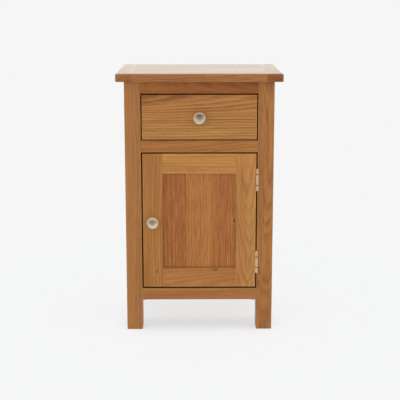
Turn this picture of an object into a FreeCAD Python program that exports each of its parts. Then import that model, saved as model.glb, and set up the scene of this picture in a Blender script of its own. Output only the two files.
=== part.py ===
import FreeCAD, Part
import math
import os

from FreeCAD import Placement, Rotation, Vector

# Small oak side table: one drawer above one cupboard with a hinged door.
# Millimetres, with X to the right, Y from front to back and Z up.
# The origin is on the floor, below the middle of the overall box.

# Overall size
TOP_WIDTH = 450.0
TOP_DEPTH = 350.0
HEIGHT = 720.0

# Top: a wide middle panel with a breadboard end on each side
TOP_THICK = 22.0
TOP_OVERHANG_SIDE = 22.0
TOP_OVERHANG_FRONT = 22.0
TOP_OVERHANG_BACK = 10.0
TOP_CORNER_RADIUS = 6.0
TOP_UPPER_RADIUS = 5.0
TOP_LOWER_RADIUS = 2.0
TOP_RADIUS_LIMIT = 0.9
BREADBOARD_WIDTH = 44.0
BREADBOARD_SEAM = 0.4
TONGUE_LENGTH = 12.0
TONGUE_THICK = 8.0
TONGUE_INSET = 25.0

# Legs, square in section
LEG = 44.0
LEG_CORNER_RADIUS = 3.0
LEG_EDGE_RADIUS = 0.6
FOOT_RADIUS = 4.5
LEG_CLEARANCE = 88.0

# Rails of the frame
FRONT_RAIL_HEIGHT = 33.0
FRONT_RAIL_THICK = 22.0
DRAWER_RAIL_DEPTH = 40.0
SIDE_RAIL_HEIGHT = 33.0
SIDE_RAIL_THICK = 20.0
BACK_RAIL_HEIGHT = 33.0
BACK_RAIL_THICK = 18.0
RAIL_EDGE_RADIUS = 0.8
DRAWER_OPENING_HEIGHT = 127.0

# Mortise and tenon joints of the frame
TENON_WALL = 22.0
TENON_THICK = 8.0
TENON_SHOULDER = 5.0
MORTISE_SPARE = 1.0

# Panels of the carcass
SIDE_PANEL_THICK = 8.0
SIDE_PANEL_SETBACK = 6.0
SIDE_GROOVE_DEPTH = 8.0
PANEL_FLOAT = 1.0
BACK_PANEL_THICK = 6.0
BACK_REBATE = 10.0
FLOOR_THICK = 12.0
FLOOR_FIT = 0.4
CLEAT = 18.0

# Drawer runners, kickers and stops
RUNNER_THICK = 20.0
RUNNER_LEDGE = 4.0
RUNNER_TENON_LENGTH = 8.0
RUNNER_TENON_THICK = 8.0
GUIDE_HEIGHT = 25.0
GUIDE_CLEARANCE = 1.0
RUNNING_CLEARANCE = 0.3
STOP_WIDTH = 22.0
STOP_DEPTH = 14.0
STOP_HEIGHT = 6.0
STOP_INSET = 49.0

# Drawer
DRAWER_GAP_SIDE = 3.0
DRAWER_GAP_TOP = 3.5
DRAWER_GAP_BOTTOM = 2.5
DRAWER_BACK_GAP = 10.0
DRAWER_FRONT_THICK = 20.0
DRAWER_SIDE_THICK = 12.0
DRAWER_SIDE_DROP = 2.0
DRAWER_BACK_THICK = 12.0
DRAWER_BACK_DROP = 4.0
DRAWER_BASE_THICK = 5.0
DRAWER_BASE_RAISE = 9.0
DRAWER_GROOVE_DEPTH = 6.0
DRAWER_BASE_PLAY = 0.5
DRAWER_EDGE_RADIUS = 1.0
DOVETAIL_SPACING = 26.0
DOVETAIL_LAP = 6.0
DOVETAIL_NECK = 13.0
DOVETAIL_FLARE = 2.2
DOVETAIL_MARGIN = 7.0

# Door
DOOR_GAP_LATCH = 3.5
DOOR_GAP_TOP = 3.6
DOOR_GAP_BOTTOM = 4.0
DOOR_THICK = 20.0
DOOR_STILE_WIDTH = 55.0
DOOR_RAIL_HEIGHT = 55.0
DOOR_PANEL_THICK = 8.0
DOOR_PANEL_SETBACK = 6.0
DOOR_GROOVE_DEPTH = 9.0
DOOR_TENON_WALL = 23.0
DOOR_TENON_SHOULDER = 8.0
DOOR_EDGE_RADIUS = 1.0
DOOR_JOINT_RADIUS = 0.4

# Knobs: turned metal with a dished face
KNOB_PROJECTION = 26.0
KNOB_HEAD_RADIUS = 16.0
KNOB_RIM_WIDTH = 3.4
KNOB_EDGE_HEIGHT = 5.5
KNOB_DISH_DEPTH = 3.0
KNOB_FLARE_CURVE = 0.3
KNOB_NECK_RADIUS = 6.0
KNOB_NECK_LENGTH = 5.0
KNOB_BASE_STEP = 2.5
KNOB_BASE_HEIGHT = 1.5
KNOB_BASE_FLARE = 4.5
KNOB_BORE_WALL = 7.3
KNOB_SCREW_RADIUS = 2.0
KNOB_SCREW_HEAD_RADIUS = 4.5
KNOB_SCREW_HEAD_HEIGHT = 2.6
KNOB_SCREW_SPARE = 2.0
KNOB_HOLE_CLEARANCE = 0.25
KNOB_THREAD_CLEARANCE = 0.05

# Butt hinges on the right of the door
HINGE_LENGTH = 60.0
HINGE_CENTRE_KNUCKLE = 30.0
HINGE_END_DISTANCE = 72.0
HINGE_BARREL_RADIUS = 3.4
HINGE_PIN_RADIUS = 1.6
HINGE_PIN_HEAD_RADIUS = 2.5
HINGE_PIN_HEAD_HEIGHT = 1.0
HINGE_LEAF_WIDTH = 17.0
HINGE_LEAF_THICK = 2.5
HINGE_LEAF_GAP = 1.0
HINGE_PROUD = 0.3
KNUCKLE_GAP = 0.4
PIN_PRESS_CLEARANCE = 0.02
PIN_RUNNING_CLEARANCE = 0.05
HINGE_SCREW_SPACING = 20.0
HINGE_SCREW_SETBACK = 9.5

# Magnetic catch on the left leg, with its strike plate on the door
CATCH_LENGTH = 46.0
CATCH_DEPTH = 13.0
CATCH_FLANGE_THICK = 3.0
CATCH_HOUSING_LENGTH = 26.0
CATCH_HOUSING_WIDTH = 12.0
CATCH_WALL = 1.5
CATCH_SCREW_SPACING = 36.0
POLE_PLATE_THICK = 1.4
POLE_PLATE_REACH = 1.0
STRIKE_PLATE_LENGTH = 38.0
STRIKE_PLATE_WIDTH = 13.0
STRIKE_PLATE_THICK = 1.5
STRIKE_PLATE_INSET = 1.0
STRIKE_CLEARANCE = 0.3

# Wood screws with countersunk heads
SMALL_SCREW_HEAD_RADIUS = 2.9
SMALL_SCREW_RADIUS = 1.4
SMALL_SCREW_LENGTH = 15.0
SHORT_SCREW_LENGTH = 12.0
LONG_SCREW_HEAD_RADIUS = 3.9
LONG_SCREW_RADIUS = 2.0
LONG_SCREW_LENGTH = 26.0
TOP_SCREW_LENGTH = 35.0
TOP_SCREW_BITE = 14.0
SCREW_POINT = 3.0
SCREW_FIT = 0.05
SCREW_SLOT_WIDTH = 0.8
SCREW_SLOT_DEPTH = 0.8
SCREW_END_DISTANCE = 30.0
CLEAT_SCREW_END = 14.0
BASE_SCREW_INSET = 40.0
HOLE_SPARE = 1.0

# Planes that the pieces share, worked out from the sizes above
SIDES = {"left": -1, "right": 1}
CARCASS_WIDTH = TOP_WIDTH - 2 * TOP_OVERHANG_SIDE
CARCASS_DEPTH = TOP_DEPTH - TOP_OVERHANG_FRONT - TOP_OVERHANG_BACK
CARCASS_TOP = HEIGHT - TOP_THICK
FRONT = (max(KNOB_PROJECTION, TOP_OVERHANG_FRONT) - CARCASS_DEPTH - TOP_OVERHANG_BACK) / 2
BACK = FRONT + CARCASS_DEPTH
FRONT_LEG_BACK = FRONT + LEG
BACK_LEG_FRONT = BACK - LEG
BACK_RAIL_BACK = BACK - BACK_PANEL_THICK
BACK_RAIL_FRONT = BACK_RAIL_BACK - BACK_RAIL_THICK

LEG_OUT = CARCASS_WIDTH / 2
LEG_IN = LEG_OUT - LEG
SIDE_RAIL_IN = LEG_OUT - SIDE_RAIL_THICK
SIDE_PANEL_OUT = LEG_OUT - SIDE_PANEL_SETBACK
SIDE_PANEL_IN = SIDE_PANEL_OUT - SIDE_PANEL_THICK
TENON_LENGTH = LEG - TENON_WALL

BOTTOM_RAIL_Z = (LEG_CLEARANCE, LEG_CLEARANCE + FRONT_RAIL_HEIGHT)
TOP_RAIL_Z = (CARCASS_TOP - FRONT_RAIL_HEIGHT, CARCASS_TOP)
DRAWER_FLOOR = TOP_RAIL_Z[0] - DRAWER_OPENING_HEIGHT
DRAWER_RAIL_Z = (DRAWER_FLOOR - FRONT_RAIL_HEIGHT, DRAWER_FLOOR)
SIDE_BOTTOM_RAIL_Z = (LEG_CLEARANCE, LEG_CLEARANCE + SIDE_RAIL_HEIGHT)
SIDE_TOP_RAIL_Z = (CARCASS_TOP - SIDE_RAIL_HEIGHT, CARCASS_TOP)
BACK_BOTTOM_RAIL_Z = (LEG_CLEARANCE, LEG_CLEARANCE + BACK_RAIL_HEIGHT)
BACK_TOP_RAIL_Z = (CARCASS_TOP - BACK_RAIL_HEIGHT, CARCASS_TOP)
FLOOR_Z = (BOTTOM_RAIL_Z[1] - FLOOR_THICK, BOTTOM_RAIL_Z[1])
CLEAT_Z = (FLOOR_Z[0] - CLEAT, FLOOR_Z[0])

DRAWER_OUT = LEG_IN - DRAWER_GAP_SIDE
DRAWER_IN = DRAWER_OUT - DRAWER_SIDE_THICK
DRAWER_FRONT_Z = (DRAWER_FLOOR + DRAWER_GAP_BOTTOM, TOP_RAIL_Z[0] - DRAWER_GAP_TOP)
DRAWER_SIDE_Z = (DRAWER_FLOOR + RUNNING_CLEARANCE, DRAWER_FRONT_Z[1] - DRAWER_SIDE_DROP)
DRAWER_BASE_Z = (
    DRAWER_SIDE_Z[0] + DRAWER_BASE_RAISE,
    DRAWER_SIDE_Z[0] + DRAWER_BASE_RAISE + DRAWER_BASE_THICK,
)
DRAWER_BACK_Z = (DRAWER_BASE_Z[1], DRAWER_SIDE_Z[1] - DRAWER_BACK_DROP)
DRAWER_FRONT_BACK = FRONT + DRAWER_FRONT_THICK
DRAWER_END = BACK_RAIL_FRONT - DRAWER_BACK_GAP
DRAWER_BACK_FRONT = DRAWER_END - DRAWER_BACK_THICK
RUNNER_IN = DRAWER_IN - RUNNER_LEDGE
GUIDE_IN = DRAWER_OUT + GUIDE_CLEARANCE

HINGE_AXIS_X = LEG_IN - HINGE_LEAF_GAP / 2
HINGE_AXIS_Y = FRONT - HINGE_BARREL_RADIUS - HINGE_PROUD
DOOR_BACK = FRONT + DOOR_THICK
DOOR_X = (-LEG_IN + DOOR_GAP_LATCH, HINGE_AXIS_X - HINGE_LEAF_GAP / 2 - HINGE_LEAF_THICK)
DOOR_Z = (BOTTOM_RAIL_Z[1] + DOOR_GAP_BOTTOM, DRAWER_RAIL_Z[0] - DOOR_GAP_TOP)
DOOR_INNER_X = (DOOR_X[0] + DOOR_STILE_WIDTH, DOOR_X[1] - DOOR_STILE_WIDTH)
DOOR_INNER_Z = (DOOR_Z[0] + DOOR_RAIL_HEIGHT, DOOR_Z[1] - DOOR_RAIL_HEIGHT)
DOOR_GROOVE_Y = (FRONT + DOOR_PANEL_SETBACK, FRONT + DOOR_PANEL_SETBACK + DOOR_PANEL_THICK)
DOOR_MIDDLE_Z = (DOOR_Z[0] + DOOR_Z[1]) / 2
DOOR_TENON_LENGTH = DOOR_STILE_WIDTH - DOOR_TENON_WALL
HINGE_HEIGHTS = {"lower": DOOR_Z[0] + HINGE_END_DISTANCE, "upper": DOOR_Z[1] - HINGE_END_DISTANCE}
CATCH_FRONT = DOOR_BACK + STRIKE_PLATE_THICK + STRIKE_CLEARANCE + POLE_PLATE_REACH
KNOB_DISH_LOW = KNOB_PROJECTION - KNOB_RIM_WIDTH / 2 - KNOB_DISH_DEPTH
KNOB_BORE_DEPTH = KNOB_DISH_LOW - KNOB_BORE_WALL
TOP_SCREW_Z = CARCASS_TOP + TOP_SCREW_BITE - TOP_SCREW_LENGTH


# How close two places are when they count as one
NEAR = 1e-6

AXIS_X = Vector(1, 0, 0)
AXIS_Y = Vector(0, 1, 0)
AXIS_Z = Vector(0, 0, 1)


def around(centre, size):
    """The two limits of a size set about its centre."""
    return (centre - size / 2, centre + size / 2)


def box(x, y, z):
    """A block between pairs of limits, given in either order."""
    low = Vector(min(x), min(y), min(z))
    high = Vector(max(x), max(y), max(z))
    size = high.sub(low)
    return Part.makeBox(size.x, size.y, size.z, low)


def one_solid(shape):
    """The single solid in a result."""
    if len(shape.Solids) != 1:
        raise ValueError("expected one solid and found %d" % len(shape.Solids))
    return shape.Solids[0]


def fuse(shape, *others):
    """Several touching solids joined into one."""
    return one_solid(shape.multiFuse(list(others)).removeSplitter())


def cut(shape, *tools):
    """A solid with other solids cut out of it."""
    return one_solid(shape.cut(list(tools)))


def edge_runs(edge, axis):
    """True for a straight edge that runs along an axis."""
    if not isinstance(edge.Curve, Part.Line):
        return False
    return abs(abs(edge.Curve.Direction.dot(axis)) - 1) < NEAR


def eased(shape, radius, wanted):
    """Rounds the edges that a test picks."""
    return one_solid(shape.makeFillet(radius, [e for e in shape.Edges if wanted(e)]))


def board(x, y, z, axis, radius):
    """A block whose four long edges, along an axis, are rounded."""
    return eased(box(x, y, z), radius, lambda e: edge_runs(e, axis))


def turned(profile, base, direction):
    """A closed outline in the XZ plane, turned about Z, then set on a base point along a direction."""
    face = Part.Face(Part.Wire(profile))
    solid = one_solid(face.revolve(Vector(0, 0, 0), AXIS_Z, 360))
    solid.Placement = Placement(base, Rotation(AXIS_Z, direction))
    return solid


def outline_part(*corners):
    """Straight edges from each corner to the next."""
    return [Part.makeLine(a, b) for a, b in zip(corners, corners[1:])]


def outline(*points):
    """A closed ring of straight edges through points given as radius and height."""
    corners = [Vector(r, 0, h) for r, h in points]
    return outline_part(*corners, corners[0])


def countersunk_screw(head, direction, head_radius, radius, length):
    """A countersunk wood screw, with a cross slot, from its head's face along a direction."""
    neck = head_radius - radius
    body = turned(
        outline((0, 0), (head_radius, 0), (radius, neck), (radius, length - SCREW_POINT), (0, length)),
        Vector(0, 0, 0),
        AXIS_Z,
    )
    reach = around(0, 2 * radius)
    width = around(0, SCREW_SLOT_WIDTH)
    depth = (0, SCREW_SLOT_DEPTH)
    body = cut(body, box(reach, width, depth), box(width, reach, depth))
    body.Placement = Placement(head, Rotation(AXIS_Z, direction))
    return body


def screw_hole(head, direction, head_radius, radius, length, sink=0.0):
    """The hole that a countersunk screw fits, with a counterbore where its head is sunk."""
    wide = head_radius + SCREW_FIT
    slim = radius + SCREW_FIT
    neck = head_radius - radius
    end = length + SCREW_FIT
    mouth = -sink - HOLE_SPARE
    return turned(
        outline((0, mouth), (wide, mouth), (wide, 0), (slim, neck), (slim, end), (0, end)), head, direction
    )


SMALL_SCREW = (SMALL_SCREW_HEAD_RADIUS, SMALL_SCREW_RADIUS, SMALL_SCREW_LENGTH)
SHORT_SCREW = (SMALL_SCREW_HEAD_RADIUS, SMALL_SCREW_RADIUS, SHORT_SCREW_LENGTH)
LONG_SCREW = (LONG_SCREW_HEAD_RADIUS, LONG_SCREW_RADIUS, LONG_SCREW_LENGTH)
TOP_SCREW = (LONG_SCREW_HEAD_RADIUS, LONG_SCREW_RADIUS, TOP_SCREW_LENGTH)


def screws(heads, kind):
    """A group of like screws, one for each head's place and direction."""
    return Part.makeCompound([countersunk_screw(place, way, *kind) for place, way in heads])


def holes(heads, kind, sink=0.0):
    """The holes for a group of like screws."""
    return [screw_hole(place, way, *kind, sink) for place, way in heads]


# Where the screws' heads lie, and the way that each screw points

def top_screw_heads():
    """Up through the kickers into the top."""
    x = (LEG_IN + SIDE_RAIL_IN) / 2
    rows = (FRONT_LEG_BACK + SCREW_END_DISTANCE, BACK_LEG_FRONT - SCREW_END_DISTANCE)
    return [(Vector(side * x, y, TOP_SCREW_Z), AXIS_Z) for side in SIDES.values() for y in rows]


def floor_screw_heads(side):
    """Up through a cleat into the cupboard floor."""
    x = side * (SIDE_RAIL_IN - CLEAT / 2)
    rows = (FRONT_LEG_BACK + SCREW_END_DISTANCE, BACK_LEG_FRONT - SCREW_END_DISTANCE)
    return [(Vector(x, y, CLEAT_Z[0]), AXIS_Z) for y in rows]


def cleat_screw_heads(side):
    """Sideways through a cleat into the side rail."""
    x = side * (SIDE_RAIL_IN - CLEAT)
    rows = (FRONT_LEG_BACK + CLEAT_SCREW_END, BACK_LEG_FRONT - CLEAT_SCREW_END)
    z = (CLEAT_Z[0] + CLEAT_Z[1]) / 2
    return [(Vector(x, y, z), Vector(side, 0, 0)) for y in rows]


def runner_screw_heads(side):
    """Sideways through a runner's end into the back leg."""
    y = (BACK_LEG_FRONT + BACK_RAIL_FRONT) / 2
    return [(Vector(side * RUNNER_IN, y, DRAWER_FLOOR - RUNNER_THICK / 2), Vector(side, 0, 0))]


def back_screw_heads():
    """Through the back panel, into the back legs and the back rails."""
    middle = (LEG_CLEARANCE + CARCASS_TOP) / 2
    low = BACK_BOTTOM_RAIL_Z[1] + SCREW_END_DISTANCE
    high = BACK_TOP_RAIL_Z[0] - SCREW_END_DISTANCE
    x = LEG_IN + BACK_REBATE / 2
    heads = [(side * x, z) for side in SIDES.values() for z in (low, middle, high)]
    rails = (sum(BACK_BOTTOM_RAIL_Z) / 2, sum(BACK_TOP_RAIL_Z) / 2)
    heads += [(side * LEG_IN / 2, z) for side in SIDES.values() for z in rails]
    return [(Vector(x, BACK, z), Vector(0, -1, 0)) for x, z in heads]


def hinge_screw_heads(height, way):
    """Into the wood beside one leaf; way is 1 for the leg and -1 for the door."""
    x = HINGE_AXIS_X + way * HINGE_LEAF_GAP / 2
    y = HINGE_AXIS_Y + HINGE_SCREW_SETBACK
    rows = (-HINGE_SCREW_SPACING, 0, HINGE_SCREW_SPACING)
    return [(Vector(x, y, height + row), Vector(way, 0, 0)) for row in rows]


def catch_screw_heads():
    """Through the ends of the catch's flange into the left leg."""
    x = -LEG_IN + CATCH_FLANGE_THICK
    y = CATCH_FRONT + CATCH_DEPTH / 2
    return [(Vector(x, y, z), Vector(-1, 0, 0)) for z in around(DOOR_MIDDLE_Z, CATCH_SCREW_SPACING)]


def strike_screw_heads():
    """Through the strike plate into the back of the latch stile."""
    x = DOOR_X[0] + STRIKE_PLATE_INSET + STRIKE_PLATE_WIDTH / 2
    return [(Vector(x, DOOR_BACK + STRIKE_PLATE_THICK, DOOR_MIDDLE_Z), Vector(0, -1, 0))]


def base_screw_heads():
    """Up through the drawer's base into its back."""
    y = (DRAWER_BACK_FRONT + DRAWER_END) / 2
    columns = (BASE_SCREW_INSET - DRAWER_IN, 0, DRAWER_IN - BASE_SCREW_INSET)
    return [(Vector(x, y, DRAWER_BASE_Z[0]), AXIS_Z) for x in columns]


# Tenons, whose mortises are the same blocks made deeper

def front_tenon(side, z, spare=0.0):
    x = (side * LEG_IN, side * (LEG_IN + TENON_LENGTH + spare))
    y = around(FRONT + FRONT_RAIL_THICK / 2, TENON_THICK)
    return box(x, y, (z[0] + TENON_SHOULDER, z[1] - TENON_SHOULDER))


def back_tenon(side, z, spare=0.0):
    x = (side * LEG_IN, side * (LEG_IN + TENON_LENGTH + spare))
    y = around((BACK_RAIL_FRONT + BACK_RAIL_BACK) / 2, TENON_THICK)
    return box(x, y, (z[0] + TENON_SHOULDER, z[1] - TENON_SHOULDER))


def side_tenon(side, shoulder, way, z, spare=0.0):
    """A side rail's tenon, from its shoulder towards the front (-1) or the back (1)."""
    x = around(side * (LEG_OUT - SIDE_RAIL_THICK / 2), TENON_THICK)
    return box(x, (shoulder, shoulder + way * (TENON_LENGTH + spare)), z)


def side_tenon_heights():
    """The heights of the side tenons, kept clear of the panel's groove."""
    clear = SIDE_GROOVE_DEPTH + TENON_SHOULDER
    return {
        "bottom": (SIDE_BOTTOM_RAIL_Z[0] + TENON_SHOULDER, SIDE_BOTTOM_RAIL_Z[1] - clear),
        "top": (SIDE_TOP_RAIL_Z[0] + clear, SIDE_TOP_RAIL_Z[1] - TENON_SHOULDER),
    }


def runner_tenon(side, spare=0.0):
    """The stub at a runner's front end, which fits the back of the drawer rail."""
    x = (side * RUNNER_IN, side * LEG_IN)
    y = FRONT + DRAWER_RAIL_DEPTH
    z = around(DRAWER_FLOOR - RUNNER_THICK / 2, RUNNER_TENON_THICK)
    return box(x, (y, y - RUNNER_TENON_LENGTH - spare), z)


def door_tenon(side_x, way, z, spare=0.0):
    """A door rail's tenon, which starts at a stile's inner edge."""
    return box((side_x, side_x + way * (DOOR_TENON_LENGTH + spare)), DOOR_GROOVE_Y, z)


def door_tenon_heights():
    clear = DOOR_GROOVE_DEPTH + DOOR_TENON_SHOULDER
    return {
        "bottom": (DOOR_Z[0] + DOOR_TENON_SHOULDER, DOOR_INNER_Z[0] - clear),
        "top": (DOOR_INNER_Z[1] + clear, DOOR_Z[1] - DOOR_TENON_SHOULDER),
    }


# The top

def make_top():
    """The middle panel and its two breadboard ends, cut from one rounded slab."""
    x = around(0, TOP_WIDTH)
    y = (FRONT - TOP_OVERHANG_FRONT, BACK + TOP_OVERHANG_BACK)
    z = (CARCASS_TOP, HEIGHT)
    slab = board(x, y, z, AXIS_Z, TOP_CORNER_RADIUS)
    limit = TOP_RADIUS_LIMIT * TOP_CORNER_RADIUS
    slab = eased(slab, min(TOP_UPPER_RADIUS, limit), lambda e: e.BoundBox.ZMin > HEIGHT - NEAR)
    slab = eased(slab, min(TOP_LOWER_RADIUS, limit), lambda e: e.BoundBox.ZMax < CARCASS_TOP + NEAR)
    seam = TOP_WIDTH / 2 - BREADBOARD_WIDTH
    middle = one_solid(slab.common(box((-seam, seam), y, z)))
    tongue_y = (y[0] + TONGUE_INSET, y[1] - TONGUE_INSET)
    tongue_z = around((CARCASS_TOP + HEIGHT) / 2, TONGUE_THICK)
    made = {}
    for name, side in SIDES.items():
        end = one_solid(slab.common(box((side * seam, side * TOP_WIDTH / 2), y, z)))
        face = min(end.Faces, key=lambda f: abs(f.BoundBox.Center.x - side * seam))
        end = one_solid(end.makeChamfer(BREADBOARD_SEAM, face.Edges))
        groove = box((side * seam, side * (seam + TONGUE_LENGTH + MORTISE_SPARE)), tongue_y, tongue_z)
        made["top_breadboard_" + name] = cut(end, groove)
        middle = fuse(middle, box((side * seam, side * (seam + TONGUE_LENGTH)), tongue_y, tongue_z))
    made["top_panel"] = cut(middle, *holes(top_screw_heads(), TOP_SCREW))
    return made


# The legs

def leg_blank(side, y):
    """A leg with its outer corner and its foot rounded."""
    x = (side * LEG_IN, side * LEG_OUT)
    z = (0, CARCASS_TOP)
    outer_y = FRONT if y[0] == FRONT else BACK

    def is_corner(edge):
        centre = edge.BoundBox.Center
        return abs(centre.x - side * LEG_OUT) < NEAR and abs(centre.y - outer_y) < NEAR

    def is_other(edge):
        centre = edge.BoundBox.Center
        near_x = min(abs(centre.x - side * limit) for limit in (LEG_IN, LEG_OUT)) < NEAR
        near_y = min(abs(centre.y - limit) for limit in y) < NEAR
        return edge_runs(edge, AXIS_Z) and near_x and near_y

    post = eased(box(x, y, z), LEG_CORNER_RADIUS, lambda e: edge_runs(e, AXIS_Z) and is_corner(e))
    post = eased(post, LEG_EDGE_RADIUS, is_other)
    foot = eased(box(x, y, z), FOOT_RADIUS, lambda e: e.BoundBox.ZMax < NEAR)
    return one_solid(post.common(foot))


def panel_groove(side, y):
    """The stopped groove in a leg, between two Y limits, that takes the side panel's edge."""
    z = (SIDE_BOTTOM_RAIL_Z[1] - SIDE_GROOVE_DEPTH, SIDE_TOP_RAIL_Z[0] + SIDE_GROOVE_DEPTH)
    return box((side * SIDE_PANEL_IN, side * SIDE_PANEL_OUT), y, z)


def make_legs():
    made = {}
    heights = side_tenon_heights().values()
    for name, side in SIDES.items():
        front = [front_tenon(side, z, MORTISE_SPARE) for z in (BOTTOM_RAIL_Z, DRAWER_RAIL_Z, TOP_RAIL_Z)]
        front += [side_tenon(side, FRONT_LEG_BACK, -1, z, MORTISE_SPARE) for z in heights]
        front.append(panel_groove(side, (FRONT_LEG_BACK - SIDE_GROOVE_DEPTH, FRONT_LEG_BACK)))
        if name == "right":
            for height in HINGE_HEIGHTS.values():
                front.append(leaf_recess(height))
                front += holes(hinge_screw_heads(height, 1), SMALL_SCREW)
        else:
            front += holes(catch_screw_heads(), SMALL_SCREW)
        made["leg_front_" + name] = cut(leg_blank(side, (FRONT, FRONT_LEG_BACK)), *front)

        back = [back_tenon(side, z, MORTISE_SPARE) for z in (BACK_BOTTOM_RAIL_Z, BACK_TOP_RAIL_Z)]
        back += [side_tenon(side, BACK_LEG_FRONT, 1, z, MORTISE_SPARE) for z in heights]
        back.append(panel_groove(side, (BACK_LEG_FRONT, BACK_LEG_FRONT + SIDE_GROOVE_DEPTH)))
        rebate_x = (side * LEG_IN, side * (LEG_IN + BACK_REBATE))
        back.append(box(rebate_x, (BACK_RAIL_BACK, BACK), (LEG_CLEARANCE, CARCASS_TOP)))
        back += holes(runner_screw_heads(side), LONG_SCREW)
        back += holes(back_screw_heads(), SMALL_SCREW)
        made["leg_back_" + name] = cut(leg_blank(side, (BACK_LEG_FRONT, BACK)), *back)
    return made


def leaf_recess(height):
    """The gain in the right front leg that takes a hinge leaf."""
    x = (LEG_IN, HINGE_AXIS_X + HINGE_LEAF_GAP / 2 + HINGE_LEAF_THICK)
    return box(x, (FRONT, HINGE_AXIS_Y + HINGE_LEAF_WIDTH), around(height, HINGE_LENGTH))


# The rails between the legs

def front_rail(z, depth):
    """A rail across the front, with a tenon at each end."""
    body = board((-LEG_IN, LEG_IN), (FRONT, FRONT + depth), z, AXIS_X, RAIL_EDGE_RADIUS)
    return fuse(body, *[front_tenon(side, z) for side in SIDES.values()])


def make_front_rails():
    drawer_rail = front_rail(DRAWER_RAIL_Z, DRAWER_RAIL_DEPTH)
    return {
        "front_top_rail": front_rail(TOP_RAIL_Z, FRONT_RAIL_THICK),
        "drawer_rail": cut(drawer_rail, *[runner_tenon(side, MORTISE_SPARE) for side in SIDES.values()]),
        "front_bottom_rail": front_rail(BOTTOM_RAIL_Z, FRONT_RAIL_THICK),
    }


def side_rail(side, z, tenon_z, groove_z):
    """A rail between two legs on one side, grooved for the side panel."""
    x = (side * SIDE_RAIL_IN, side * LEG_OUT)
    y = (FRONT_LEG_BACK, BACK_LEG_FRONT)
    body = board(x, y, z, AXIS_Y, RAIL_EDGE_RADIUS)
    body = cut(body, box((side * SIDE_PANEL_IN, side * SIDE_PANEL_OUT), y, groove_z))
    ends = ((FRONT_LEG_BACK, -1), (BACK_LEG_FRONT, 1))
    return fuse(body, *[side_tenon(side, shoulder, way, tenon_z) for shoulder, way in ends])


def make_side_rails():
    made = {}
    heights = side_tenon_heights()
    for name, side in SIDES.items():
        z = SIDE_BOTTOM_RAIL_Z
        bottom = side_rail(side, z, heights["bottom"], (z[1] - SIDE_GROOVE_DEPTH, z[1]))
        made["side_bottom_rail_" + name] = cut(bottom, *holes(cleat_screw_heads(side), LONG_SCREW))
        z = SIDE_TOP_RAIL_Z
        made["side_top_rail_" + name] = side_rail(side, z, heights["top"], (z[0], z[0] + SIDE_GROOVE_DEPTH))
    return made


def make_side_panels():
    reach = SIDE_GROOVE_DEPTH - PANEL_FLOAT
    y = (FRONT_LEG_BACK - reach, BACK_LEG_FRONT + reach)
    z = (SIDE_BOTTOM_RAIL_Z[1] - reach, SIDE_TOP_RAIL_Z[0] + reach)
    made = {}
    for name, side in SIDES.items():
        made["side_panel_" + name] = box((side * SIDE_PANEL_IN, side * SIDE_PANEL_OUT), y, z)
    return made


def back_rail(z):
    """A rail across the back, set in by the thickness of the back panel."""
    body = board((-LEG_IN, LEG_IN), (BACK_RAIL_FRONT, BACK_RAIL_BACK), z, AXIS_X, RAIL_EDGE_RADIUS)
    body = fuse(body, *[back_tenon(side, z) for side in SIDES.values()])
    return cut(body, *holes(back_screw_heads(), SMALL_SCREW))


def make_back():
    half = LEG_IN + BACK_REBATE - PANEL_FLOAT / 2
    panel = box((-half, half), (BACK_RAIL_BACK, BACK), (LEG_CLEARANCE, CARCASS_TOP))
    return {
        "back_top_rail": back_rail(BACK_TOP_RAIL_Z),
        "back_bottom_rail": back_rail(BACK_BOTTOM_RAIL_Z),
        "back_panel": cut(panel, *holes(back_screw_heads(), SMALL_SCREW)),
        "back_panel_screws": screws(back_screw_heads(), SMALL_SCREW),
    }


# The cupboard's floor and its cleats

def make_floor():
    x = (-SIDE_RAIL_IN, SIDE_RAIL_IN)
    y = (FRONT + FRONT_RAIL_THICK, BACK_RAIL_FRONT)
    notch = LEG_IN - FLOOR_FIT
    corners = []
    for side in SIDES.values():
        notch_x = (side * notch, side * LEG_OUT)
        corners.append(box(notch_x, (FRONT, FRONT_LEG_BACK + FLOOR_FIT), FLOOR_Z))
        corners.append(box(notch_x, (BACK_LEG_FRONT - FLOOR_FIT, BACK), FLOOR_Z))
    floor = cut(box(x, y, FLOOR_Z), *corners)
    made = {}
    for name, side in SIDES.items():
        up = holes(floor_screw_heads(side), LONG_SCREW)
        across = holes(cleat_screw_heads(side), LONG_SCREW)
        cleat_x = (side * (SIDE_RAIL_IN - CLEAT), side * SIDE_RAIL_IN)
        cleat = box(cleat_x, (FRONT_LEG_BACK, BACK_LEG_FRONT), CLEAT_Z)
        made["floor_cleat_" + name] = cut(cleat, *up, *across)
        floor = cut(floor, *up)
    made["cupboard_floor"] = floor
    return made


# The drawer's runners, kickers and stops

def leg_blocks(side, z):
    """The space of the two legs on one side, for notching what runs past them."""
    x = (side * LEG_IN, side * LEG_OUT)
    return [box(x, (FRONT, FRONT_LEG_BACK), z), box(x, (BACK_LEG_FRONT, BACK), z)]


def runner(side):
    """A ledge under the drawer's side, with a rib that guides the drawer between the legs."""
    ledge_z = (DRAWER_FLOOR - RUNNER_THICK, DRAWER_FLOOR)
    rib_z = (DRAWER_FLOOR, DRAWER_FLOOR + GUIDE_HEIGHT)
    ledge_y = (FRONT + DRAWER_RAIL_DEPTH, BACK_RAIL_FRONT)
    ledge = box((side * RUNNER_IN, side * SIDE_PANEL_IN), ledge_y, ledge_z)
    ledge = cut(ledge, *leg_blocks(side, ledge_z))
    rib = box((side * GUIDE_IN, side * SIDE_PANEL_IN), (FRONT_LEG_BACK, BACK_LEG_FRONT), rib_z)
    whole = fuse(ledge, rib, runner_tenon(side))
    return cut(whole, *holes(runner_screw_heads(side), LONG_SCREW))


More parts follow.
